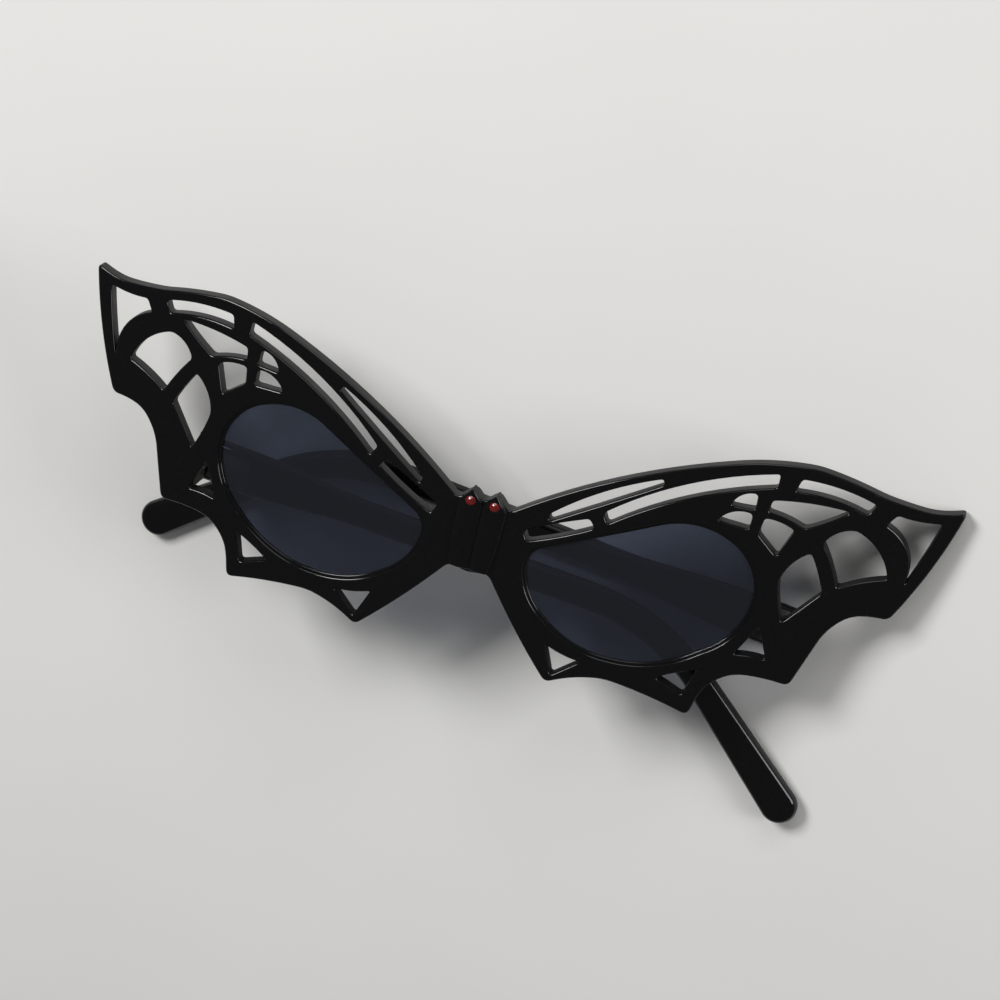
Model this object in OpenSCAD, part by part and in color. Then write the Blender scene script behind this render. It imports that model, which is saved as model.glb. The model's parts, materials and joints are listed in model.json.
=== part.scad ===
// Novelty sunglasses with a bat-wing front, shown folded and lying on the outer temple.
// The front is drawn in its own frame: x across, y up the face, z out towards the viewer,
// with the bridge's front face at z = 0. lay_down() then turns it all onto the table.

/* [Front] */
// Half of the width over the two wing tips
half_w = 90.4; // [84:0.2:96]
// Thickness of the front moulding
front_t = 3.2; // [2.8:0.1:4]
// Radius of the wrap, seen from above
wrap_r = 295; // [260:5:420]
// Length that each corner of the wings' outline is rounded over
tip_r = 1.4; // [0.8:0.1:1.8]
// Length that each corner of the holes is rounded over
corner_r = 0.7; // [0.3:0.1:0.9]

/* [Bat body] */
// Radius of the crown of each lobe of the body at the bridge
lobe_r = 4.2; // [3.6:0.1:6]
// Height that the lobes stand out of the front face
lobe_rise = 1.3; // [1.1:0.1:2]
// Radius of each eye stone
stone_r = 1.15; // [0.8:0.05:1.4]
// Height of an eye stone above its seat
stone_h = 0.9; // [0.5:0.1:1.2]

/* [Lenses] */
// Thickness of a lens
lens_t = 1.6; // [1.2:0.1:1.8]
// Depth of the rim in front of the lens
lens_set = 0.9; // [0.7:0.1:1]
// Depth of the groove round a lens
groove_d = 0.8; // [0.5:0.1:1]
// Clearance of a lens in its groove
lens_gap = 0.05; // [0.02:0.01:0.1]

/* [Nose rests] */
// Depth of the moulded nose rests behind the front
nose_d = 5; // [3:0.5:7]
// Width of a nose rest
nose_w = 2.6; // [2:0.2:4]

/* [Hinges] */
// Distance of each hinge pin from the middle
pin_x = 61.8; // [61.4:0.1:62.4]
// Depth of the pins behind the bridge's front face
pin_d = 15.5; // [15:0.1:18]
// Lean of the pins in the plane of the front, in degrees
pin_lean = 3.1; // [2.9:0.1:4]
// Radius of the screw's shank
screw_r = 0.65; // [0.5:0.05:0.8]
// Radius of the hinge barrel
barrel_r = 1.5; // [1.3:0.05:1.6]
// Length of the hinge barrel
barrel_len = 7.5; // [6:0.5:9]
// Height of the middle knuckle
mid_len = 2.4; // [2:0.1:3]
// Thickness of the hinge leaves
leaf_t = 0.8; // [0.5:0.05:0.9]
// Length of the leaf on a temple
leaf_len = 10.5; // [8:0.5:14]

/* [Temples] */
// Reach of a temple from its pin to its tip, along the straight part
temple_len = 138; // [130:1:150]
// Where the ear hook starts to bend, from the pin
bend_at = 85; // [80:1:90]
// Slope of the ear hook, in degrees
hook_slope = 40; // [34:1:44]
// Thickness of a temple
temple_t = 3.5; // [3:0.1:4]
// Height of a temple at its hinge
temple_h = 9.5; // [9:0.1:10]
// Height of a temple along its middle
arm_h = 5.9; // [5:0.1:6]
// Height of the ear hook at its tip
paddle_h = 7.8; // [6:0.1:8.4]
// Angle that the outer temple stays open when both are shut, in degrees
outer_open = 6; // [5:0.5:7]
// Angle that the inner temple shuts past square, in degrees
inner_past = 0.9; // [0.7:0.1:1.5]

/* [Hidden] */
$fn = 64;
gloss_black = [0.03, 0.03, 0.035];
smoke = [0.16, 0.18, 0.24, 0.75];
ruby = [0.6, 0.06, 0.05];
steel = [0.7, 0.7, 0.72];

run_gap = 0.05;               // radial clearance of the screw in the knuckles
knuckle_gap = 0.1;            // gap between neighbouring knuckles
temple_in = barrel_r + 0.1;   // inner face of a temple, from its pin
leaf_seat = 0.05;             // gap between a leaf and what it is fixed to
butt_gap = 0.6;               // gap between an open temple's end and the front
end_past = 2.2;               // length of a temple beyond its pin
boss_w = 5.2;                 // width of the end block behind each hinge
head_r = barrel_r - 0.2;      // radius of the screw's head
head_t = 0.7;
block_side = 0.6;             // side of the end block that the leaf stands on, from the pin
block_sink = 0.9;             // depth that the end block reaches into the front
nose_dome = 24;               // radius of the back of a nose rest
step_n = 7;                   // points along an arc

// An edge list holds [x, y, bulge to the next corner]; a bulge to the left of the walk is positive.
// The walk goes round clockwise, so that is outwards.
wing_edge = [
    [0, 14.4, 0], [2.4, 16.8, 0], [5.3, 13.8, 1.95], [45, 35.1, 0.63], [61, 37.9, 0.3],
    [74, 35.2, -0.15], [83.8, 33.85, -0.25], [90.4, 35.2, 0.9], [81.5, 10.3, -0.4],
    [74.5, 9.6, -0.85], [69.3, 2, 0], [66.4, -7.4, -0.35], [56.5, -7.2, -1.1],
    [49.9, -13.5, 0], [48.8, -18.2, -0.45], [31.5, -14.9, -0.7], [20.1, -18.8, 0.45],
    [4.1, 0.1, 0], [0, -0.7, 0]];

web_holes = [
    // tip triangle
    [[86.4, 32, 0.2], [82.6, 18.4, -2.4], [76.2, 29.6, 0], [77.7, 32, -0.4]],
    // upper slots, from the tip to the bridge
    [[73.3, 33.2, 0], [72.1, 30.9, -0.85], [57.7, 32.5, 0], [58.4, 35.2, 0.75]],
    [[54.1, 35.2, 0], [54.2, 32.4, -1.85], [24.4, 16.9, 0], [23.3, 19, 2.15]],
    [[32.8, 28.7, 0], [33.2, 27.6, 0], [13.4, 14.4, 0], [13, 15.7, 1.1]],
    [[20.9, 17, 0], [22.2, 15.4, 0.3], [9.9, 9.1, 0], [8.9, 11.1, 0.25]],
    // outer arch
    [[79.1, 18.7, -0.4], [70.3, 14.9, -0.3], [65.5, 23.4, 0.95], [71, 27.2, 1.45]],
    // web cells above the lens
    [[68.9, 30.7, 0.25], [61.2, 25.5, -0.35], [53.7, 27.3, 0], [54, 29.7, 0.55]],
    [[59.5, 24.6, 0], [57.4, 18.7, 0], [53, 22.4, 0], [53.4, 25.8, 0.45]],
    [[51, 30.2, 0], [51.2, 27.1, 0], [46.5, 26.9, 1.05]],
    [[51, 26, 0], [51, 22.9, 0], [44.8, 23.3, 1.15]],
    // leaf beside the lens
    [[63.8, 20.8, 0.2], [67.8, 13.2, 0], [61.8, 5.5, 0.25], [59.2, 13.8, 0.95]],
    // three small triangles along the lower rim
    [[58, 3.8, 0], [60.7, -3, -0.3], [54.5, -3.2, 0]],
    [[48.5, -8.2, 0], [46.7, -14.2, 0], [41, -11.8, 0.2]],
    [[25.9, -12.6, 0], [20.8, -17, 0], [18.3, -10.8, -0.4]]];

lens_edge = [
    [13.8, 9.4, 0], [33.6, 19.5, 1.7], [47.8, 20.3, 2.2], [55.9, 8.3, 1.9],
    [48.2, -4.6, 1.6], [31.5, -10.9, 1.45], [16.5, -5.9, 1.4], [10.3, 4.9, 0.75]];

nose_edge = [[7.6, -2.6, 0.8], [15.4, -12.2, 0.8]];

function left_of(d) = [-d[1], d[0]] / norm(d);
// A point on the arc from p to q with the given bulge, at share t of its length
function on_arc(p, q, b, t) =
    abs(b) < 0.01 ? p + (q - p) * t
    : let (half = norm(q - p) / 2, r = (half * half + b * b) / (2 * abs(b)),
           turn = asin(min(1, half / r)), s = sign(b), n = left_of(q - p),
           mid = (p + q) / 2 + n * (b - s * r), a = (2 * t - 1) * turn,
           along = (q - p) / (2 * half))
      mid + along * (r * sin(a)) + n * (s * r * cos(a));
// The outer part of a wing is drawn for a half width of 90.4 and follows half_w
wing_from = 57;
wing_drawn = 90.4;
function wing_x(x) = abs(x) < wing_from ? x
    : sign(x) * (wing_from + (abs(x) - wing_from) * (half_w - wing_from)
                 / (wing_drawn - wing_from));
function xy(e) = [wing_x(e[0]), e[1]];
function part_cut(p, q, r) = min(0.4, r / norm(q - p));
// Walks round an edge list and rounds each corner by the radius r
function walk(edge, r, n = step_n) = [
    for (i = [0 : len(edge) - 1])
        let (p = xy(edge[i]), q = xy(edge[(i + 1) % len(edge)]), b = edge[i][2],
             c = part_cut(p, q, r), w = xy(edge[(i + 2) % len(edge)]),
             b2 = edge[(i + 1) % len(edge)][2], c2 = part_cut(q, w, r),
             m = abs(b) < 0.01 ? 1 : n,
             from = on_arc(p, q, b, 1 - c), to = on_arc(q, w, b2, c2))
        each concat([for (k = [0 : m]) on_arc(p, q, b, c + (1 - 2 * c) * k / m)],
                    [for (k = [1 : 2]) let (t = k / 3)
                        from * (1 - t) * (1 - t) + q * 2 * t * (1 - t) + to * t * t])];
// Moves each point of a smooth closed curve outwards by d
function grown(pts, d) = [
    for (i = [0 : len(pts) - 1])
        let (a = pts[(i + len(pts) - 1) % len(pts)], b = pts[(i + 1) % len(pts)])
        pts[i] + left_of(b - a) * d];
function flip(pts) = [for (p = pts) [-p[0], p[1]]];

// Half of the outline is walked, then mirrored and joined up the middle
// The left wing is the right one, walked back from the foot of the bridge to its ear
wing_last = len(wing_edge) - 1;
whole_edge = concat([for (i = [0 : wing_last - 1]) wing_edge[i]],
                    [for (i = [wing_last : -1 : 1])
                        [-wing_edge[i][0], wing_edge[i][1], wing_edge[i - 1][2]]]);
outline_pts = walk(whole_edge, tip_r);
lens_pts = walk(lens_edge, 1.5, 8);

// Depth of the front face behind the bridge, and of the back face, at a distance x
function face_d(x) = wrap_r - sqrt(wrap_r * wrap_r - x * x);
function back_d(x) = wrap_r - sqrt(pow(wrap_r - front_t, 2) - x * x);
boss_back = pin_d - end_past - butt_gap;
lift = pin_x * sin(outer_open) + pin_d * cos(outer_open) + temple_in + temple_t;

// How far the middle of the outer temple lies up the page, half way along the glasses
mid_rise = pin_x * cos(outer_open) * tan(pin_lean);
module lay_down() {
    translate([0, -mid_rise, lift])
        rotate(a = outer_open, v = [sin(pin_lean), cos(pin_lean), 0]) children();
}
// A curved sheet that follows the wrap, between two depths below the front face
module wrap_sheet(from_d, to_d) {
    translate([0, 0, -wrap_r]) rotate([90, 0, 0])
        difference() {
            cylinder(r = wrap_r - from_d, h = 140, center = true, $fn = 720);
            cylinder(r = wrap_r - to_d, h = 141, center = true, $fn = 720);
        }
}
// Frame of a hinge: x away from the hinge along a shut temple, y up the pin, z out of the back
module hinge_frame(side) {
    translate([side * pin_x, 0, -pin_d]) rotate([0, 0, -pin_lean])
        mirror([side > 0 ? 1 : 0, 0, 0]) mirror([0, 0, 1]) children();
}
module temple_frame(side) {
    hinge_frame(side) rotate([0, side > 0 ? -outer_open : inner_past, 0]) children();
}
// A round bar along the pin, from height a to height b
module pin_bar(r, a, b) {
    translate([0, b, 0]) rotate([90, 0, 0]) cylinder(r = r, h = b - a);
}
module slab(x0, x1, y0, y1, z0, z1) {
    translate([x0, y0, z0]) cube([x1 - x0, y1 - y0, z1 - z0]);
}

module web_sheet() {
    intersection() {
        translate([0, 0, -60]) linear_extrude(61)
            difference() {
                polygon(outline_pts);
                for (h = web_holes) {
                    polygon(walk(h, corner_r));
                    polygon(flip(walk(h, corner_r)));
                }
                polygon(lens_pts);
                polygon(flip(lens_pts));
            }
        wrap_sheet(0, front_t);
    }
}
module lens_groove(pts) {
    groove = lens_t + 2 * lens_gap;
    intersection() {
        translate([0, 0, -60]) linear_extrude(61) polygon(pts);
        wrap_sheet(lens_set - lens_gap, lens_set - lens_gap + groove);
    }
}
lobe_x = 2.45;
stone_y = 14.5;
lobe_root = 2;
// Plan of a lobe about its middle line; the top corner is the tip of an ear, and the
// inner edge reaches past the middle of the bridge into the other lobe
lobe_edge = [[-2.9, 0.2, 0], [-2.9, 13.6, 0.1], [0.1, 17.05, -0.1], [2.6, 13.7, 0],
             [2.4, 8, 0.15], [1.5, 0.3, 0]];
module bat_lobe() {
    intersection() {
        translate([lobe_x, 0, -lobe_root]) linear_extrude(lobe_root + lobe_rise + 1)
            polygon(walk(lobe_edge, 0.35, 4));
        translate([lobe_x, 0, lobe_rise - lobe_r]) pin_bar(lobe_r, -2, 20);
    }
}
module stone_seat(side, r, from, to) {
    translate([side * lobe_x, stone_y, from]) cylinder(r = r, h = to - from);
}
module end_block(side) {
    hinge_frame(side) slab(block_side - boss_w, block_side, -temple_h / 2, temple_h / 2,
                           back_d(pin_x) - block_sink - pin_d, boss_back - pin_d);
}
module front_frame() {
    color(gloss_black) lay_down() {
        difference() {
            union() {
                web_sheet();
                for (side = [-1, 1]) {
                    mirror([side < 0 ? 1 : 0, 0, 0]) bat_lobe();
                    end_block(side);
                    mirror([side < 0 ? 1 : 0, 0, 0]) nose_rest();
                }
            }
            lens_groove(grown(lens_pts, groove_d));
            lens_groove(flip(grown(lens_pts, groove_d)));
            for (side = [-1, 1]) {
                stone_seat(side, stone_r + lens_gap, stone_floor, lobe_rise + 1);
            }
        }
    }
}
stone_sink = 0.55;
stone_floor = lobe_rise - stone_sink;
module nose_rest() {
    mid = (xy(nose_edge[0]) + xy(nose_edge[1])) / 2;
    intersection() {
        translate([0, 0, -front_t - nose_d]) linear_extrude(nose_d + front_t - 0.4)
            polygon(walk([[nose_edge[0][0], nose_edge[0][1], nose_w / 2],
                          [nose_edge[1][0], nose_edge[1][1], nose_w / 2]], 0.3));
        translate([mid[0], mid[1], nose_dome - front_t - nose_d]) sphere(r = nose_dome, $fn = 96);
    }
}
module lens(side) {
    pts = grown(lens_pts, groove_d - lens_gap);
    color(smoke) lay_down() intersection() {
        translate([0, 0, -60]) linear_extrude(61) polygon(side > 0 ? pts : flip(pts));
        wrap_sheet(lens_set, lens_set + lens_t);
    }
}
module lens_left() { lens(-1); }
module lens_right() { lens(1); }

module eye_stone(side) {
    color(ruby) lay_down() translate([side * lobe_x, stone_y, stone_floor])  {
        cylinder(r = stone_r, h = stone_h * 0.45);
        translate([0, 0, stone_h * 0.45]) cylinder(r1 = stone_r, r2 = stone_r * 0.5, h = stone_h * 0.55);
    }
}
module eye_stone_left() { eye_stone(-1); }
module eye_stone_right() { eye_stone(1); }

module knuckles(a, b) {
    difference() {
        union() {
            pin_bar(barrel_r, a, b);
            children();
        }
        pin_bar(screw_r + run_gap, -barrel_len, barrel_len);
    }
}
module front_hinge(side) {
    edge = mid_len / 2 + knuckle_gap;
    tip = barrel_len / 2;
    color(steel) lay_down() hinge_frame(side) {
        for (up = [-1, 1]) {
            knuckles(up > 0 ? edge : -tip, up > 0 ? tip : -edge)
                slab(block_side, block_side + leaf_t, up > 0 ? edge : -tip, up > 0 ? tip : -edge,
                     -barrel_r - 0.2, 0);
        }
        slab(block_side + leaf_seat, block_side + leaf_t, -tip, tip, -pin_d + back_d(pin_x) + 0.1, -barrel_r - 0.1);
    }
}
module front_hinge_left() { front_hinge(-1); }
module front_hinge_right() { front_hinge(1); }

module temple_hinge(side) {
    half = mid_len / 2;
    color(steel) lay_down() temple_frame(side) {
        knuckles(-half, half) slab(0, barrel_r + 0.4, -half, half, temple_in - leaf_seat - leaf_t,
                                   temple_in - leaf_seat);
        slab(barrel_r + 0.3, leaf_len, -barrel_len / 2 + 0.6, barrel_len / 2 - 0.6,
             temple_in - leaf_seat - leaf_t, temple_in - leaf_seat);
    }
}
module temple_hinge_left() { temple_hinge(-1); }
module temple_hinge_right() { temple_hinge(1); }

module hinge_screw(side) {
    tip = barrel_len / 2;
    color(steel) lay_down() hinge_frame(side) {
        difference() {
            union() {
                pin_bar(screw_r, -tip, tip + 0.1);
                pin_bar(head_r, tip + 0.05, tip + 0.05 + head_t);
            }
            slab(-head_r, head_r, tip + 0.05 + head_t - 0.3, tip + 1.5, -0.15, 0.15);
        }
    }
}
module hinge_screw_left() { hinge_screw(-1); }
module hinge_screw_right() { hinge_screw(1); }

// Middle line of the ear hook: it turns down in an arc and then runs straight to the tip
turn_r = 40;
hook_x = bend_at + turn_r * sin(hook_slope);
hook_y = -turn_r * (1 - cos(hook_slope));
function hook_line(x) = hook_y - (x - hook_x) * tan(hook_slope);
tip_x = temple_len - paddle_h / 2 * 0.9;
hook_dir = [cos(hook_slope), -sin(hook_slope)];
hook_up = [sin(hook_slope), cos(hook_slope)];
tip_mid = [tip_x, hook_line(tip_x)];
taper_end = 36;
function arm_side(s) = concat(
    [[-end_past, s * temple_h / 2], [9, s * temple_h / 2]],
    [for (k = [1 : 5]) let (t = k / 5, e = t * t * (3 - 2 * t))
        [9 + (taper_end - 9) * t, s * (temple_h / 2 + (arm_h - temple_h) / 2 * e)]],
    [for (k = [0 : 6]) let (a = hook_slope * k / 6)
        [bend_at + (turn_r + s * arm_h / 2) * sin(a),
         -turn_r + (turn_r + s * arm_h / 2) * cos(a)]],
    [let (p = tip_mid + hook_up * (s * paddle_h / 2)) [p[0], p[1]]]);
tip_round = [for (k = [1 : 9]) let (a = 90 - 18 * k)
    tip_mid + hook_dir * (paddle_h / 2 * cos(a)) + hook_up * (paddle_h / 2 * sin(a))];
up_side = arm_side(1);
low_side = arm_side(-1);
temple_pts = concat(up_side, tip_round,
                    [for (i = [len(low_side) - 1 : -1 : 0]) low_side[i]]);
module temple(side) {
    color(gloss_black) lay_down() temple_frame(side)
        translate([0, 0, temple_in]) linear_extrude(temple_t) polygon(temple_pts);
}
module temple_left() { temple(-1); }
module temple_right() { temple(1); }

front_frame();
lens_left();
lens_right();
eye_stone_left();
eye_stone_right();
front_hinge_left();
front_hinge_right();
temple_hinge_left();
temple_hinge_right();
hinge_screw_left();
hinge_screw_right();
temple_left();
temple_right();
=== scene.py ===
"""Bat-wing novelty sunglasses, folded and lying on the side of the outer temple.

Shapes are drawn in millimetres in the front's own frame, with x across, y up the face and z out of
it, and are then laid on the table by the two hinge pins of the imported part.
"""

import json
import logging
import math
from dataclasses import dataclass
from enum import Enum
from typing import Any, Callable, Sequence

import bmesh
import bpy
from mathutils import Matrix, Vector


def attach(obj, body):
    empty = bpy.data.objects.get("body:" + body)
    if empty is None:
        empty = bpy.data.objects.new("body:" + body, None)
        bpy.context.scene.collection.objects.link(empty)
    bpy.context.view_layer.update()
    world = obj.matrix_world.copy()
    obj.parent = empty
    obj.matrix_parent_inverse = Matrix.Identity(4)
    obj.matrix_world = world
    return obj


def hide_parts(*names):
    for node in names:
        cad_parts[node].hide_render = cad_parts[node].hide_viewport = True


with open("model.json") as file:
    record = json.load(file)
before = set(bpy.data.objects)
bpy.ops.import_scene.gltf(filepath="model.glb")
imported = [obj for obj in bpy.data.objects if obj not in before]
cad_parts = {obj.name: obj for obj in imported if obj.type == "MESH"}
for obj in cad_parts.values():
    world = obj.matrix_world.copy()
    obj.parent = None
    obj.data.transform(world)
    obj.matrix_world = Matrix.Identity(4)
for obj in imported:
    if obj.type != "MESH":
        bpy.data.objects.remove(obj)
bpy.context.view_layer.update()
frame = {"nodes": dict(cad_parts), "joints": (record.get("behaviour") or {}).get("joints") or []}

MM = 0.001
STRAIGHT = 0.01  # an edge with less bulge than this is straight
CUT_SHARE = 0.4  # a rounded corner takes up at most this share of an edge
CORNER_STEPS = 5  # parts that a rounded corner is drawn in
WELD = 0.0005  # points closer than this, in millimetres, are one point
SHARP_ANGLE = 42  # edges that fold by more degrees than this stay crisp
LENS_CORNER = 1.5  # length that the corners of the lens outline are rounded over
LOG = logging.getLogger("sunglasses")
Point = tuple[float, float]
Place = tuple[float, float, float]
Edge = Sequence[tuple[float, float, float]]


class Side(Enum):
    """Side of the glasses, as seen from in front."""

    LEFT = -1
    RIGHT = 1


# Each corner is x, y and the bulge of the edge that leads to the next corner.
WING_EDGE: Edge = (
    (0, 14.4, 0), (2.4, 16.8, 0), (5.3, 13.8, 1.95), (45, 35.1, 0.63), (61, 37.9, 0.3),
    (74, 35.2, -0.15), (83.8, 33.85, -0.25), (90.4, 35.2, 0.9), (81.5, 10.3, -0.4),
    (74.5, 9.6, -0.85), (69.3, 2, 0), (66.4, -7.4, -0.35), (56.5, -7.2, -1.1),
    (49.9, -13.5, 0), (48.8, -18.2, -0.45), (31.5, -14.9, -0.7), (20.1, -18.8, 0.45),
    (4.1, 0.1, 0), (0, -0.7, 0),
)

WEB_HOLES: dict[str, Edge] = {
    "tip": ((86.4, 32, 0.2), (82.6, 18.4, -2.4), (76.2, 29.6, 0), (77.7, 32, -0.4)),
    "upper_slot": ((73.3, 33.2, 0), (72.1, 30.9, -0.85), (57.7, 32.5, 0), (58.4, 35.2, 0.75)),
    "long_slot": ((54.1, 35.2, 0), (54.2, 32.4, -1.85), (24.4, 16.9, 0), (23.3, 19, 2.15)),
    "bridge_slot": ((32.8, 28.7, 0), (33.2, 27.6, 0), (13.4, 14.4, 0), (13, 15.7, 1.1)),
    "low_slot": ((20.9, 17, 0), (22.2, 15.4, 0.3), (9.9, 9.1, 0), (8.9, 11.1, 0.25)),
    "arch": ((79.1, 18.7, -0.4), (70.3, 14.9, -0.3), (65.5, 23.4, 0.95), (71, 27.2, 1.45)),
    "cell_top": ((68.9, 30.7, 0.25), (61.2, 25.5, -0.35), (53.7, 27.3, 0), (54, 29.7, 0.55)),
    "cell_drop": ((59.5, 24.6, 0), (57.4, 18.7, 0), (53, 22.4, 0), (53.4, 25.8, 0.45)),
    "cell_small": ((51, 30.2, 0), (51.2, 27.1, 0), (46.5, 26.9, 1.05)),
    "cell_low": ((51, 26, 0), (51, 22.9, 0), (44.8, 23.3, 1.15)),
    "leaf": ((63.8, 20.8, 0.2), (67.8, 13.2, 0), (61.8, 5.5, 0.25), (59.2, 13.8, 0.95)),
    "rim_outer": ((58, 3.8, 0), (60.7, -3, -0.3), (54.5, -3.2, 0)),
    "rim_low": ((48.5, -8.2, 0), (46.7, -14.2, 0), (41, -11.8, 0.2)),
    "rim_inner": ((25.9, -12.6, 0), (20.8, -17, 0), (18.3, -10.8, -0.4)),
}

LENS_EDGE: Edge = (
    (13.8, 9.4, 0), (33.6, 19.5, 1.7), (47.8, 20.3, 2.2), (55.9, 8.3, 1.9),
    (48.2, -4.6, 1.6), (31.5, -10.9, 1.45), (16.5, -5.9, 1.4), (10.3, 4.9, 0.75),
)


def arc_point(p: Vector, q: Vector, bulge: float, share: float) -> Vector:
    """Finds a point on the arc between two corners.

    Args:
        p: The first corner.
        q: The second corner.
        bulge: How far the arc stands to the left of the straight line.
        share: The share of the arc's length, from 0 to 1.

    Returns:
        The point, in the plane of the corners.
    """
    if abs(bulge) < STRAIGHT:
        return p.lerp(q, share)
    along = (q - p).normalized()
    left = Vector((-along.y, along.x))
    half = (q - p).length / 2
    radius = (half * half + bulge * bulge) / (2 * abs(bulge))
    turn = math.asin(min(1.0, half / radius))
    sign = math.copysign(1.0, bulge)
    centre = (p + q) / 2 + left * (bulge - sign * radius)
    angle = (2 * share - 1) * turn
    return centre + along * (radius * math.sin(angle)) + left * (sign * radius * math.cos(angle))


def walk(edge: Edge, radius: float, steps: int = 12) -> list[Vector]:
    """Walks round an edge list and rounds its corners.

    Args:
        edge: Corners with the bulge of the edge after each.
        radius: Size of each rounded corner.
        steps: Points along each arc.

    Returns:
        The closed outline's points.
    """
    corners = [Vector((e[0], e[1])) for e in edge]
    count = len(edge)
    points: list[Vector] = []
    for i in range(count):
        p, q, w = corners[i], corners[(i + 1) % count], corners[(i + 2) % count]
        bulge, after = edge[i][2], edge[(i + 1) % count][2]
        cut = min(CUT_SHARE, radius / (q - p).length)
        cut_after = min(CUT_SHARE, radius / (w - q).length)
        runs = 1 if abs(bulge) < STRAIGHT else steps
        for k in range(runs + 1):
            points.append(arc_point(p, q, bulge, cut + (1 - 2 * cut) * k / runs))
        start, end = arc_point(p, q, bulge, 1 - cut), arc_point(q, w, after, cut_after)
        for k in range(1, CORNER_STEPS):
            t = k / CORNER_STEPS
            points.append(start * (1 - t) ** 2 + q * 2 * t * (1 - t) + end * t * t)
    return points


def grown(points: Sequence[Vector], distance: float) -> list[Vector]:
    """Moves a smooth closed outline outwards.

    Args:
        points: The outline's points, in order.
        distance: How far each point moves; inwards if it is negative.

    Returns:
        The moved points.
    """
    made = []
    for i, point in enumerate(points):
        along = (points[(i + 1) % len(points)] - points[i - 1]).normalized()
        made.append(point + Vector((-along.y, along.x)) * distance)
    return made


def flipped(points: Sequence[Vector]) -> list[Vector]:
    """Mirrors an outline to the other side of the glasses.

    Args:
        points: The outline's points.

    Returns:
        The mirrored points, in the same order.
    """
    return [Vector((-p.x, p.y)) for p in points]


def moulded(loops: Sequence[Sequence[Vector]], low: float, high: float, edge: float,
            segments: int = 3) -> bmesh.types.BMesh:
    """Makes a flat moulding with rounded edges from closed outlines.

    Args:
        loops: The outer outline and any holes.
        low: Height of the back face.
        high: Height of the front face.
        edge: Radius of every edge.
        segments: Facets of a rounded edge, less one.

    Returns:
        The moulding in millimetres.
    """
    curve = bpy.data.curves.new("outline", "CURVE")
    curve.dimensions = "2D"
    curve.fill_mode = "BOTH"
    curve.extrude = (high - low) / 2 - edge
    curve.bevel_depth = edge
    curve.bevel_resolution = segments
    curve.offset = -edge
    for loop in loops:
        spline = curve.splines.new("POLY")
        spline.points.add(len(loop) - 1)
        for point, place in zip(spline.points, loop):
            point.co = (place.x, place.y, 0, 1)
        spline.use_cyclic_u = True
    holder = bpy.data.objects.new("outline", curve)
    bpy.context.scene.collection.objects.link(holder)
    bpy.context.view_layer.update()
    drawn = holder.evaluated_get(bpy.context.evaluated_depsgraph_get()).to_mesh()
    mesh = bmesh.new()
    mesh.from_mesh(drawn)
    bpy.data.objects.remove(holder)
    bpy.data.curves.remove(curve)
    bmesh.ops.remove_doubles(mesh, verts=mesh.verts, dist=WELD)
    bmesh.ops.recalc_face_normals(mesh, faces=mesh.faces)
    bmesh.ops.translate(mesh, verts=mesh.verts, vec=(0, 0, (low + high) / 2))
    return mesh


def slice_across(mesh: bmesh.types.BMesh, places: Sequence[float]) -> None:
    """Cuts a mesh's faces along upright planes across x, so that it can bend there.

    Args:
        mesh: The mesh to cut.
        places: Where each plane stands on x.
    """
    for place in places:
        bmesh.ops.bisect_plane(mesh, geom=[*mesh.verts, *mesh.edges, *mesh.faces],
                               plane_co=(place, 0, 0), plane_no=(1, 0, 0), dist=WELD)


def reshape(mesh: bmesh.types.BMesh, move: Callable[[Vector], Vector]) -> None:
    """Moves every point of a mesh.

    Args:
        mesh: The mesh to change.
        move: Gives the new place of a point from its old one.
    """
    for vert in mesh.verts:
        vert.co = move(vert.co.copy())


def hand_over(mesh: bmesh.types.BMesh, name: str, place: Matrix, smooth: bool = True) -> Any:
    """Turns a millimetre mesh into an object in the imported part's frame.

    Args:
        mesh: The mesh, which is freed.
        name: Name of the piece.
        place: Where the piece's own frame lies.
        smooth: Whether its rounded faces shade smoothly.

    Returns:
        The new object.
    """
    data = bpy.data.meshes.new(name)
    mesh.transform(place)
    bmesh.ops.recalc_face_normals(mesh, faces=mesh.faces)
    mesh.to_mesh(data)
    mesh.free()
    piece = bpy.data.objects.new(name, data)
    bpy.context.scene.collection.objects.link(piece)
    if smooth:
        data.polygons.foreach_set("use_smooth", [True] * len(data.polygons))
        data.set_sharp_from_angle(angle=math.radians(SHARP_ANGLE))
        weighted = piece.modifiers.new("flat faces stay flat", "WEIGHTED_NORMAL")
        weighted.keep_sharp = True
    return piece


def linear(code: str, alpha: float = 1.0) -> tuple[float, float, float, float]:
    """Turns an sRGB hex colour into linear values.

    Args:
        code: The colour, as a hash sign and six hex digits.
        alpha: The opacity.

    Returns:
        Red, green, blue and opacity.
    """
    parts = [int(code[i:i + 2], 16) / 255 for i in (1, 3, 5)]
    made = [c / 12.92 if c <= 0.04045 else ((c + 0.055) / 1.055) ** 2.4 for c in parts]
    return (made[0], made[1], made[2], alpha)


def per_mm(size: float) -> float:
    """Gives the scale of a texture for features of a given width.

    Args:
        size: Width of a feature in millimetres.

    Returns:
        The texture's scale.
    """
    return 1.0 / (size * MM)


def add_node(tree: Any, kind: str, settings: dict[Any, Any] | None = None,
             links: dict[Any, Any] | None = None) -> Any:
    """Adds a shader node with its settings and links.

    Args:
        tree: The material's node tree.
        kind: The node's type.
        settings: Attributes of the node, or values of its inputs by name or number.
        links: Outputs to join to its inputs, by name or number.

    Returns:
        The node.
    """
    node = tree.nodes.new(kind)
    for key, value in (settings or {}).items():
        if isinstance(key, str) and hasattr(node, key):
            setattr(node, key, value)
        else:
            node.inputs[key].default_value = value
    for key, output in (links or {}).items():
        tree.links.new(output, node.inputs[key])
    return node


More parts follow.
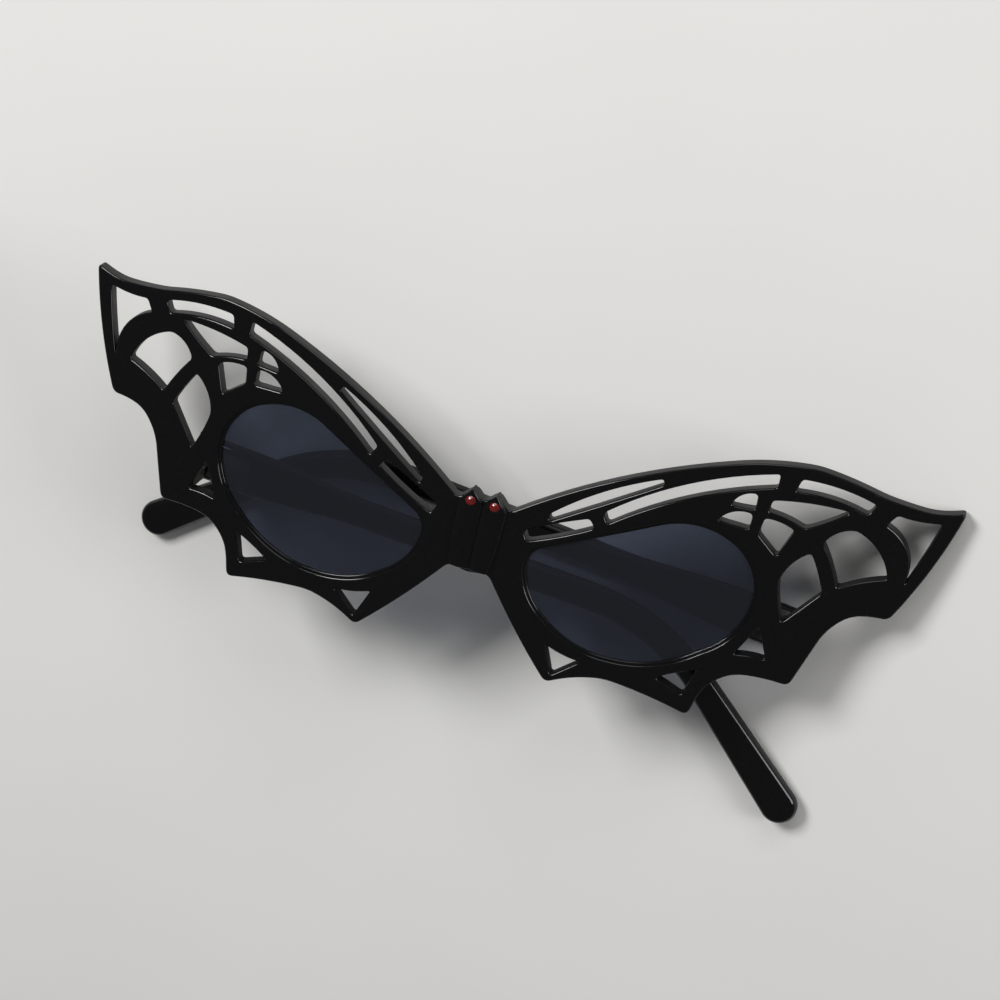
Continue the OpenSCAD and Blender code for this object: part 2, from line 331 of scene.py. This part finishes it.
def fresh(name: str) -> tuple[Any, Any, Any]:
    """Makes a material with nothing in it but its output.

    Args:
        name: Name of the material.

    Returns:
        The material, its node tree and its output node.
    """
    material = bpy.data.materials.new(name)
    material.use_nodes = True
    tree = material.node_tree
    tree.nodes.clear()
    return material, tree, add_node(tree, "ShaderNodeOutputMaterial")


@dataclass(frozen=True)
class GlossPlastic:
    """Glossy black ABS, injection moulded against a polished steel mould.

    The mould gives the faces a mirror-like skin with a very slight waviness and a little dust.
    The side walls drag along the mould as the part is pushed out, so they are duller.
    """

    name: str = "abs_gloss_black_injection_moulded"
    body: str = "#060607"
    worn: str = "#101114"
    ior: float = 1.46
    wave_mm: float = 9.0
    dust_mm: float = 0.5
    drag: float = 0.4

    def make(self) -> Any:
        """Builds the material."""
        material, tree, out = fresh(self.name)
        where = add_node(tree, "ShaderNodeTexCoord")
        place = where.outputs["Object"]
        wave = add_node(tree, "ShaderNodeTexNoise",
                        {"Scale": per_mm(self.wave_mm), "Detail": 2.0}, {"Vector": place})
        dust = add_node(tree, "ShaderNodeTexNoise",
                        {"Scale": per_mm(self.dust_mm), "Detail": 3.0}, {"Vector": place})
        rough = add_node(tree, "ShaderNodeMapRange",
                         {"From Min": 0.3, "From Max": 0.75, "To Min": 0.07, "To Max": 0.2},
                         {"Value": wave.outputs["Fac"]})
        facing = add_node(tree, "ShaderNodeSeparateXYZ", None, {0: where.outputs["Normal"]})
        upright = add_node(tree, "ShaderNodeMath", {"operation": "ABSOLUTE"},
                           {0: facing.outputs["Z"]})
        wall = add_node(tree, "ShaderNodeMapRange",
                        {"From Min": 0.2, "From Max": 0.45, "To Min": self.drag, "To Max": 0.0},
                        {"Value": upright.outputs[0]})
        gloss = add_node(tree, "ShaderNodeMath", {"operation": "ADD"},
                         {0: rough.outputs["Result"], 1: wall.outputs["Result"]})
        shade = add_node(tree, "ShaderNodeMapRange",
                         {"From Min": 0.56, "From Max": 0.8}, {"Value": dust.outputs["Fac"]})
        colour = add_node(tree, "ShaderNodeMix",
                          {"data_type": "RGBA", 6: linear(self.body), 7: linear(self.worn)},
                          {0: shade.outputs["Result"]})
        bump = add_node(tree, "ShaderNodeBump", {"Strength": 0.06, "Distance": 0.0003},
                        {"Height": wave.outputs["Fac"]})
        skin = add_node(tree, "ShaderNodeBsdfPrincipled",
                        {"IOR": self.ior, "Specular IOR Level": 0.4},
                        {"Base Color": colour.outputs[2], "Roughness": gloss.outputs[0],
                         "Normal": bump.outputs["Normal"]})
        tree.links.new(skin.outputs[0], out.inputs["Surface"])
        return material


@dataclass(frozen=True)
class SmokeLens:
    """Smoke-tinted polycarbonate sheet, polished; a dark blue-grey that one can see through."""

    name: str = "polycarbonate_smoke_tint_polished"
    tint: str = "#4e5668"
    shade: str = "#70737b"
    ior: float = 1.58
    haze_mm: float = 6.0

    def make(self) -> Any:
        """Builds the material; its shadow is tinted, as the light under the real lens is."""
        material, tree, out = fresh(self.name)
        place = add_node(tree, "ShaderNodeTexCoord").outputs["Object"]
        haze = add_node(tree, "ShaderNodeTexNoise",
                        {"Scale": per_mm(self.haze_mm), "Detail": 4.0}, {"Vector": place})
        rough = add_node(tree, "ShaderNodeMapRange",
                         {"From Min": 0.4, "From Max": 0.8, "To Min": 0.015, "To Max": 0.06},
                         {"Value": haze.outputs["Fac"]})
        sheet = add_node(tree, "ShaderNodeBsdfPrincipled",
                         {"Base Color": linear(self.tint), "IOR": self.ior,
                          "Transmission Weight": 0.94},
                         {"Roughness": rough.outputs["Result"]})
        clear = add_node(tree, "ShaderNodeBsdfTransparent", {"Color": linear(self.shade)})
        ray = add_node(tree, "ShaderNodeLightPath")
        both = add_node(tree, "ShaderNodeMixShader", None,
                        {0: ray.outputs["Is Shadow Ray"], 1: sheet.outputs[0], 2: clear.outputs[0]})
        tree.links.new(both.outputs[0], out.inputs["Surface"])
        return material


@dataclass(frozen=True)
class RedStone:
    """Small glass stone, cast dark red and cut in facets."""

    name: str = "glass_stone_red_faceted"
    body: str = "#7e100e"
    deep: str = "#380605"
    grain_mm: float = 0.7

    def make(self) -> Any:
        """Builds the material."""
        material, tree, out = fresh(self.name)
        place = add_node(tree, "ShaderNodeTexCoord").outputs["Object"]
        cloud = add_node(tree, "ShaderNodeTexNoise",
                         {"Scale": per_mm(self.grain_mm), "Detail": 2.0}, {"Vector": place})
        colour = add_node(tree, "ShaderNodeMix",
                          {"data_type": "RGBA", 6: linear(self.deep), 7: linear(self.body)},
                          {0: cloud.outputs["Fac"]})
        stone = add_node(tree, "ShaderNodeBsdfPrincipled",
                         {"Roughness": 0.05, "IOR": 1.6, "Coat Weight": 0.2,
                          "Coat Roughness": 0.03},
                         {"Base Color": colour.outputs[2]})
        tree.links.new(stone.outputs[0], out.inputs["Surface"])
        return material


@dataclass(frozen=True)
class HingeSteel:
    """Stamped steel with bright nickel plate, lightly drawn along the leaf."""

    name: str = "steel_nickel_plated_stamped"
    body: str = "#b8b5ac"
    dull: str = "#8f8c84"
    line_mm: float = 0.25

    def make(self) -> Any:
        """Builds the material."""
        material, tree, out = fresh(self.name)
        place = add_node(tree, "ShaderNodeTexCoord").outputs["Object"]
        drawn = add_node(tree, "ShaderNodeMapping", {"Scale": (0.08, 1.0, 1.0)}, {"Vector": place})
        lines = add_node(tree, "ShaderNodeTexNoise",
                         {"Scale": per_mm(self.line_mm), "Detail": 3.0},
                         {"Vector": drawn.outputs[0]})
        rough = add_node(tree, "ShaderNodeMapRange",
                         {"To Min": 0.2, "To Max": 0.38}, {"Value": lines.outputs["Fac"]})
        colour = add_node(tree, "ShaderNodeMix",
                          {"data_type": "RGBA", 6: linear(self.dull), 7: linear(self.body)},
                          {0: lines.outputs["Fac"]})
        plate = add_node(tree, "ShaderNodeBsdfPrincipled", {"Metallic": 1.0},
                         {"Base Color": colour.outputs[2], "Roughness": rough.outputs["Result"]})
        tree.links.new(plate.outputs[0], out.inputs["Surface"])
        return material


@dataclass(frozen=True)
class PaintedBoard:
    """Board under the glasses, sprayed with a flat pale grey paint."""

    name: str = "board_flat_pale_paint"
    body: str = "#dddcd9"
    patch: str = "#d8d7d4"
    patch_mm: float = 60.0

    def make(self) -> Any:
        """Builds the material."""
        material, tree, out = fresh(self.name)
        place = add_node(tree, "ShaderNodeTexCoord").outputs["Object"]
        patches = add_node(tree, "ShaderNodeTexNoise",
                           {"Scale": per_mm(self.patch_mm), "Detail": 4.0}, {"Vector": place})
        colour = add_node(tree, "ShaderNodeMix",
                          {"data_type": "RGBA", 6: linear(self.body), 7: linear(self.patch)},
                          {0: patches.outputs["Fac"]})
        paint = add_node(tree, "ShaderNodeBsdfPrincipled", {"Roughness": 0.65},
                         {"Base Color": colour.outputs[2]})
        tree.links.new(paint.outputs[0], out.inputs["Surface"])
        return material


@dataclass(frozen=True)
class Finishes:
    """The finishes of the glasses, one material each."""

    plastic: Any
    lens: Any
    stone: Any
    steel: Any
    board: Any

    @staticmethod
    def all() -> "Finishes":
        """Makes every material once."""
        return Finishes(GlossPlastic().make(), SmokeLens().make(), RedStone().make(),
                        HingeSteel().make(), PaintedBoard().make())


def dress(piece: Any, finish: Any, body: str, slot: str, *nodes: str) -> None:
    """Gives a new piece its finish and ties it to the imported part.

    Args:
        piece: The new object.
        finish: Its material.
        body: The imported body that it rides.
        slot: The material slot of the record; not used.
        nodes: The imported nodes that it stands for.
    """
    piece.data.materials.append(finish)
    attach(piece, body)
    if nodes:
        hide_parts(*nodes)
    LOG.info("made %s on %s", piece.name, body)


@dataclass(frozen=True)
class Lie:
    """How the folded glasses lie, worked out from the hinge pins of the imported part.

    The pins' depth is in millimetres behind the bridge, and the inner temple's dip in degrees.
    """

    pin_depth: float = 15.5
    inner_dip: float = 5.1

    def pin(self, side: Side) -> Vector:
        """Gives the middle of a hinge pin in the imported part's frame."""
        name = "outer_temple_swing" if side is Side.RIGHT else "inner_temple_swing"
        return Vector(next(j["pos_m"] for j in frame["joints"] if j["name"] == name))

    def lean(self) -> Vector:
        """Gives the direction of both pins, up the face."""
        axis = next(j["axis"] for j in frame["joints"] if j["name"] == "inner_temple_swing")
        return Vector(axis).normalized()

    def front(self) -> Matrix:
        """Gives the front's frame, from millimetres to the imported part's metres."""
        right, left = self.pin(Side.RIGHT), self.pin(Side.LEFT)
        across = (right - left).normalized()
        up = (self.lean() - across * self.lean().dot(across)).normalized()
        out = across.cross(up)
        origin = (right + left) / 2 + out * self.pin_depth * MM
        turn = Matrix((across, up, out)).transposed().to_4x4()
        return Matrix.Translation(origin) @ turn @ Matrix.Scale(MM, 4)

    def temple(self, side: Side) -> Matrix:
        """Gives a temple's frame, with its origin in the pin and x to the right."""
        lean = self.lean()
        across = Vector((lean.y, -lean.x, 0))
        if side is Side.LEFT:
            across.rotate(Matrix.Rotation(math.radians(self.inner_dip), 3, lean))
        out = across.cross(lean)
        turn = Matrix((across, lean, out)).transposed().to_4x4()
        return Matrix.Translation(self.pin(side)) @ turn @ Matrix.Scale(MM, 4)


@dataclass
class BatFront:
    """The wide front: two pierced wings, the body at the bridge, end blocks and nose rests.

    All lengths are in millimetres. Heights are measured from the front face at the bridge.
    """

    lie: Lie
    finishes: Finishes
    thickness: float = 3.2
    wrap_radius: float = 295.0
    corner: float = 0.7
    tip_corner: float = 1.4
    edge: float = 0.42
    strip: float = 2.0
    lens_set: float = 0.9
    lens_thickness: float = 1.6
    lens_reach: float = 0.7
    lens_edge: float = 0.12
    bead_out: float = 0.5
    bead_in: float = 0.6
    bead_depth: float = 0.6
    bead_edge: float = 0.29
    bead_rise: float = 0.55
    lobe_x: float = 2.45
    lobe_radius: float = 4.2
    lobe_rise: float = 1.3
    lobe_shape: tuple[Point, ...] = ((-2.9, 0.2), (-2.9, 13.6), (0.1, 17.05), (2.6, 13.7),
                                     (2.4, 8), (1.5, 0.3))
    lobe_bulge: tuple[float, ...] = (0, 0.1, -0.1, 0, 0.15, 0)
    lobe_corner: float = 0.35
    lobe_root: float = 2.0
    lobe_edge: float = 0.3
    lobe_strip: float = 0.45
    eye_y: float = 14.5
    eye_sides: int = 8
    eye_rings: tuple[tuple[float, float, float], ...] = (
        (1.05, 0.77, 0), (1.14, 1.12, 0), (0.85, 1.45, 0.5), (0.5, 1.64, 0))
    pin_x: float = 61.8
    block_back: float = 12.7
    block_size: tuple[float, float] = (5.2, 9.5)
    block_side: float = 0.6
    block_sink: float = 0.6
    block_corner: float = 0.8
    block_edge: float = 0.3
    pin_lean: float = 3.1
    nose_depth: float = 5.0
    nose_fin: Edge = ((7.6, -2.6, 1.3), (15.4, -12.2, 1.3))
    nose_corner: float = 0.3
    nose_root: float = 1.0
    nose_edge: float = 0.7
    nose_dome: float = 48.0

    def depth(self, x: float, below: float = 0.0) -> float:
        """Gives how far a layer of the wrapped front lies behind the bridge's face.

        Args:
            x: Distance from the middle.
            below: Depth of the layer under the front face.

        Returns:
            The depth at that distance.
        """
        return self.wrap_radius - math.sqrt((self.wrap_radius - below) ** 2 - x * x)

    def outline(self) -> list[Vector]:
        """Draws the outline of both wings; the left one is walked back from foot to ear."""
        last = len(WING_EDGE) - 1
        back = [(-WING_EDGE[i][0], WING_EDGE[i][1], WING_EDGE[i - 1][2])
                for i in range(last, 0, -1)]
        return walk([*WING_EDGE[:last], *back], self.tip_corner)

    def wrap(self, mesh: bmesh.types.BMesh, low: float, high: float) -> None:
        """Cuts a flat moulding into strips and bends it round the face.

        Args:
            mesh: The moulding, with its front face at height 0 and its back below.
            low: Depth of the back face that the moulding gets.
            high: Depth of the front face that it gets.
        """
        reach = math.ceil(max(v.co.x for v in mesh.verts) / self.strip)
        start = math.floor(min(v.co.x for v in mesh.verts) / self.strip)
        slice_across(mesh, [k * self.strip for k in range(start, reach + 1)])
        tall = low - high

        def bend(p: Vector) -> Vector:
            share = -p.z / tall
            near, far = self.depth(p.x, high), self.depth(p.x, low)
            return Vector((p.x, p.y, -(near + (far - near) * share)))

        reshape(mesh, bend)

    def plate(self) -> None:
        """Builds the pierced wings."""
        lens = walk(LENS_EDGE, LENS_CORNER)
        loops = [self.outline(), lens, flipped(lens)]
        for hole in WEB_HOLES.values():
            points = walk(hole, self.corner)
            loops += [points, flipped(points)]
        mesh = moulded(loops, -self.thickness, 0, self.edge)
        self.wrap(mesh, self.thickness, 0)
        piece = hand_over(mesh, "bat_wings", self.lie.front())
        dress(piece, self.finishes.plastic, "front", "frame_plastic", "front_frame")

    def lens(self, side: Side) -> None:
        """Builds a lens in its rim, and the raised step round the rim in front of it."""
        name = side.name.lower()
        edge = walk(LENS_EDGE, LENS_CORNER)
        sheet = grown(edge, self.lens_reach)
        if side is Side.LEFT:
            sheet = flipped(sheet)
        mesh = moulded([sheet], -self.lens_thickness, 0, self.lens_edge, 1)
        self.wrap(mesh, self.lens_set + self.lens_thickness, self.lens_set)
        piece = hand_over(mesh, "smoke_lens_" + name, self.lie.front())
        dress(piece, self.finishes.lens, "front", "lens", "lens_" + name)
        rim, lip = grown(edge, self.bead_out), grown(edge, -self.bead_in)
        if side is Side.LEFT:
            rim, lip = flipped(rim), flipped(lip)
        mesh = moulded([rim, lip], -self.bead_depth, 0, self.bead_edge, 4)
        self.wrap(mesh, self.lens_set, self.lens_set - self.bead_rise)
        bead = hand_over(mesh, "rim_step_" + name, self.lie.front())
        dress(bead, self.finishes.plastic, "front", "frame_plastic", "front_frame")

    def body(self) -> None:
        """Builds the two low lobes of the bat's body, each running up into a pointed ear."""
        for side in Side:
            shape = [Vector((self.lobe_x + x, y)) for x, y in self.lobe_shape]
            loop = walk([(p.x, p.y, b) for p, b in zip(shape, self.lobe_bulge)],
                        self.lobe_corner)
            if side is Side.LEFT:
                loop = flipped(loop)
            mesh = moulded([loop], -self.lobe_root, self.lobe_rise, self.lobe_edge)
            middle = side.value * self.lobe_x
            slice_across(mesh, [middle + k * self.lobe_strip for k in range(-6, 7)])

            def crown(p: Vector, middle: float = middle) -> Vector:
                drop = self.lobe_radius - math.sqrt(self.lobe_radius ** 2 - (p.x - middle) ** 2)
                share = max(0.0, (p.z + self.lobe_root) / (self.lobe_rise + self.lobe_root))
                return Vector((p.x, p.y, p.z - drop * share))

            reshape(mesh, crown)
            piece = hand_over(mesh, "bat_lobe_" + side.name.lower(), self.lie.front())
            dress(piece, self.finishes.plastic, "front", "frame_plastic", "front_frame")

    def eye(self, side: Side) -> None:
        """Builds a red stone with one ring of upright facets, two slanting ones and a flat top."""
        mesh = bmesh.new()
        step = 2 * math.pi / self.eye_sides
        rings = [[mesh.verts.new((radius * math.cos(step * (k + turn)),
                                  radius * math.sin(step * (k + turn)), height))
                  for k in range(self.eye_sides)]
                 for radius, height, turn in self.eye_rings]
        foot, girdle, crown, table = rings
        for k in range(self.eye_sides):
            n = (k + 1) % self.eye_sides
            mesh.faces.new((foot[k], foot[n], girdle[n], girdle[k]))
            mesh.faces.new((girdle[k], girdle[n], crown[k]))
            mesh.faces.new((girdle[n], crown[n], crown[k]))
            mesh.faces.new((crown[k], crown[n], table[n]))
            mesh.faces.new((crown[k], table[n], table[k]))
        mesh.faces.new(table)
        mesh.faces.new(list(reversed(foot)))
        place = Matrix.Translation((side.value * self.lobe_x, self.eye_y, 0))
        name = "eye_stone_" + side.name.lower()
        piece = hand_over(mesh, "cut_" + name, self.lie.front() @ place, smooth=False)
        dress(piece, self.finishes.stone, "front", "stone", name)

    def end_block(self, side: Side) -> None:
        """Builds the block behind the front that carries a hinge."""
        width, height = self.block_size
        inner = self.pin_x - self.block_side
        if side is Side.LEFT:
            inner = -self.pin_x - width + self.block_side
        box = ((inner, -height / 2, 0), (inner, height / 2, 0), (inner + width, height / 2, 0),
               (inner + width, -height / 2, 0))
        top = -self.depth(self.pin_x, self.thickness) + self.block_sink
        mesh = moulded([walk(box, self.block_corner)], -self.block_back, top, self.block_edge)
        pin = Vector((side.value * self.pin_x, 0, 0))
        bmesh.ops.rotate(mesh, verts=mesh.verts, cent=pin,
                         matrix=Matrix.Rotation(math.radians(-self.pin_lean), 3, "Z"))
        piece = hand_over(mesh, "end_block_" + side.name.lower(), self.lie.front())
        dress(piece, self.finishes.plastic, "front", "frame_plastic", "front_frame")

    def nose_rest(self, side: Side) -> None:
        """Builds a nose rest, a low rounded fin along the inner edge."""
        fin = walk(self.nose_fin, self.nose_corner)
        middle = (Vector(self.nose_fin[0][:2]) + Vector(self.nose_fin[1][:2])) / 2
        if side is Side.LEFT:
            fin, middle = flipped(fin), Vector((-middle.x, middle.y))
        tall = self.thickness + self.nose_depth
        mesh = moulded([fin], -tall, -self.nose_root, self.nose_edge)

        def dome(p: Vector) -> Vector:
            reach = (Vector((p.x, p.y)) - middle).length
            share = 1 - reach * reach / (self.nose_dome * tall)
            return Vector((p.x, p.y, -self.nose_root + (p.z + self.nose_root) * share))

        reshape(mesh, dome)
        piece = hand_over(mesh, "nose_rest_" + side.name.lower(), self.lie.front())
        dress(piece, self.finishes.plastic, "front", "frame_plastic", "front_frame")

    def build(self) -> None:
        """Builds the whole front."""
        self.plate()
        self.body()
        for side in Side:
            self.lens(side)
            self.eye(side)
            self.end_block(side)
            self.nose_rest(side)


@dataclass
class Temple:
    """One folded arm, from its butt end past the pin to the rounded end of the ear hook.

    All lengths are in millimetres, and the slope is in degrees.
    """

    side: Side
    lie: Lie
    finishes: Finishes
    length: float = 137.95
    bend_at: float = 85.0
    slope: float = 40.0
    turn_radius: float = 40.0
    thickness: float = 3.5
    inner_face: float = 1.6
    butt: float = 2.2
    base_height: float = 9.5
    arm_height: float = 5.9
    end_height: float = 7.76
    taper_from: float = 9.0
    taper_to: float = 36.0
    taper_steps: int = 12
    bend_steps: int = 14
    cap_steps: int = 20
    tip_share: float = 0.9
    edge: float = 1.5

    def outline(self) -> list[Vector]:
        """Draws the arm with its pin at the origin, running to the right."""
        slope = math.radians(self.slope)
        down = Vector((math.cos(slope), -math.sin(slope)))
        up = Vector((math.sin(slope), math.cos(slope)))
        hook_x = self.bend_at + self.turn_radius * math.sin(slope)
        hook_y = -self.turn_radius * (1 - math.cos(slope))
        tip_x = self.length - self.end_height / 2 * self.tip_share
        tip = Vector((tip_x, hook_y - (tip_x - hook_x) * math.tan(slope)))
        sides = []
        for s in (1, -1):
            run = [Vector((-self.butt, s * self.base_height / 2)),
                   Vector((self.taper_from, s * self.base_height / 2))]
            for k in range(1, self.taper_steps + 1):
                t = k / self.taper_steps
                ease = t * t * (3 - 2 * t)
                height = self.base_height + (self.arm_height - self.base_height) * ease
                run.append(Vector((self.taper_from + (self.taper_to - self.taper_from) * t,
                                   s * height / 2)))
            radius = self.turn_radius + s * self.arm_height / 2
            for k in range(self.bend_steps + 1):
                a = slope * k / self.bend_steps
                run.append(Vector((self.bend_at + radius * math.sin(a),
                                   radius * math.cos(a) - self.turn_radius)))
            run.append(tip + up * (s * self.end_height / 2))
            sides.append(run)
        cap = []
        for k in range(1, self.cap_steps):
            a = math.pi * (0.5 - k / self.cap_steps)
            cap.append(tip + down * (self.end_height / 2 * math.cos(a))
                       + up * (self.end_height / 2 * math.sin(a)))
        return sides[0] + cap + list(reversed(sides[1]))

    def build(self) -> None:
        """Builds the arm with well-rounded edges."""
        points = self.outline()
        if self.side is Side.RIGHT:
            points = flipped(points)
        mesh = moulded([points], -self.inner_face - self.thickness, -self.inner_face, self.edge, 5)
        name = "temple_" + self.side.name.lower()
        body = "inner_temple" if self.side is Side.LEFT else "outer_temple"
        piece = hand_over(mesh, name.replace("temple", "arm"), self.lie.temple(self.side))
        dress(piece, self.finishes.plastic, body, "frame_plastic", name)


@dataclass
class HingeParts:
    """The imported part's own hinge leaves and screws, given their plated finish."""

    finishes: Finishes

    def build(self) -> None:
        """Puts the finish on each hinge node."""
        for name, node in frame["nodes"].items():
            if "hinge" in name:
                for slot in node.material_slots:
                    slot.material = self.finishes.steel
                LOG.info("plated %s", name)


@dataclass
class Studio:
    """The board, the lamps and the camera.

    The camera's place is in millimetres in the front's own frame. Each lamp has a name, a place in
    metres, the length of its side in metres and its power in watts.
    """

    lie: Lie
    finishes: Finishes
    focal: float = 100.8
    camera_at: Place = (79.5, 202.3, 507.9)
    camera_right: Place = (0.9496, 0.2196, -0.2236)
    camera_up: Place = (-0.2804, 0.9140, -0.2932)
    sensor: float = 36.0
    board_reach: float = 3000.0
    world_light: float = 0.16
    world_colour: str = "#f4f5f8"
    lamps: tuple[tuple[str, Place, float, float], ...] = (
        ("key_softbox", (-0.5, 0.5, 0.75), 0.35, 8.5),
        ("top_softbox", (0.1, 0.95, 0.65), 0.5, 2.6),
        ("side_softbox", (0.8, 0.25, 0.4), 0.35, 3.4),
    )

    def board(self) -> None:
        """Lays the board under the glasses."""
        mesh = bmesh.new()
        bmesh.ops.create_grid(mesh, x_segments=1, y_segments=1, size=self.board_reach)
        floor = hand_over(mesh, "board", Matrix.Scale(MM, 4), smooth=False)
        floor.data.materials.append(self.finishes.board)

    def lamp(self, name: str, at: Place, size: float, power: float) -> None:
        """Hangs a soft square lamp that points at the glasses.

        Args:
            name: Name of the lamp.
            at: Its place in metres.
            size: Length of its side in metres.
            power: Its power in watts.
        """
        data = bpy.data.lights.new(name, "AREA")
        data.size, data.energy = size, power
        lamp = bpy.data.objects.new(name, data)
        lamp.location = at
        lamp.rotation_mode = "QUATERNION"
        lamp.rotation_quaternion = (-Vector(at)).to_track_quat("-Z", "Y")
        bpy.context.scene.collection.objects.link(lamp)

    def lights(self) -> None:
        """Lights the board softly, with the main lamp up and to the left."""
        world = bpy.data.worlds.new("soft_room")
        world.use_nodes = True
        back = world.node_tree.nodes["Background"]
        back.inputs["Color"].default_value = linear(self.world_colour)
        back.inputs["Strength"].default_value = self.world_light
        bpy.context.scene.world = world
        for name, at, size, power in self.lamps:
            self.lamp(name, at, size, power)

    def camera(self) -> None:
        """Sets the camera at the photograph's place, found from the front's outline."""
        right = Vector(self.camera_right).normalized()
        up = Vector(self.camera_up)
        up = (up - right * up.dot(right)).normalized()
        local = Matrix((right, up, right.cross(up))).transposed().to_4x4()
        front = self.lie.front() @ Matrix.Scale(1 / MM, 4)
        data = bpy.data.cameras.new("camera")
        data.lens, data.sensor_width = self.focal, self.sensor
        data.clip_start, data.clip_end = 0.01, 20.0
        eye = bpy.data.objects.new("camera", data)
        eye.matrix_world = front @ Matrix.Translation(Vector(self.camera_at) * MM) @ local
        bpy.context.scene.collection.objects.link(eye)
        bpy.context.scene.camera = eye

    def build(self) -> None:
        """Builds the studio."""
        self.camera()
        self.board()
        self.lights()
        bpy.context.scene.view_settings.view_transform = "Standard"


def main() -> None:
    """Builds the glasses and the studio."""
    logging.basicConfig(level=logging.INFO, format="%(message)s")
    lie, finishes = Lie(), Finishes.all()
    Studio(lie, finishes).build()
    BatFront(lie, finishes).build()
    for side in Side:
        Temple(side, lie, finishes).build()
    HingeParts(finishes).build()
    bpy.context.view_layer.update()


if __name__ == "__main__":
    main()
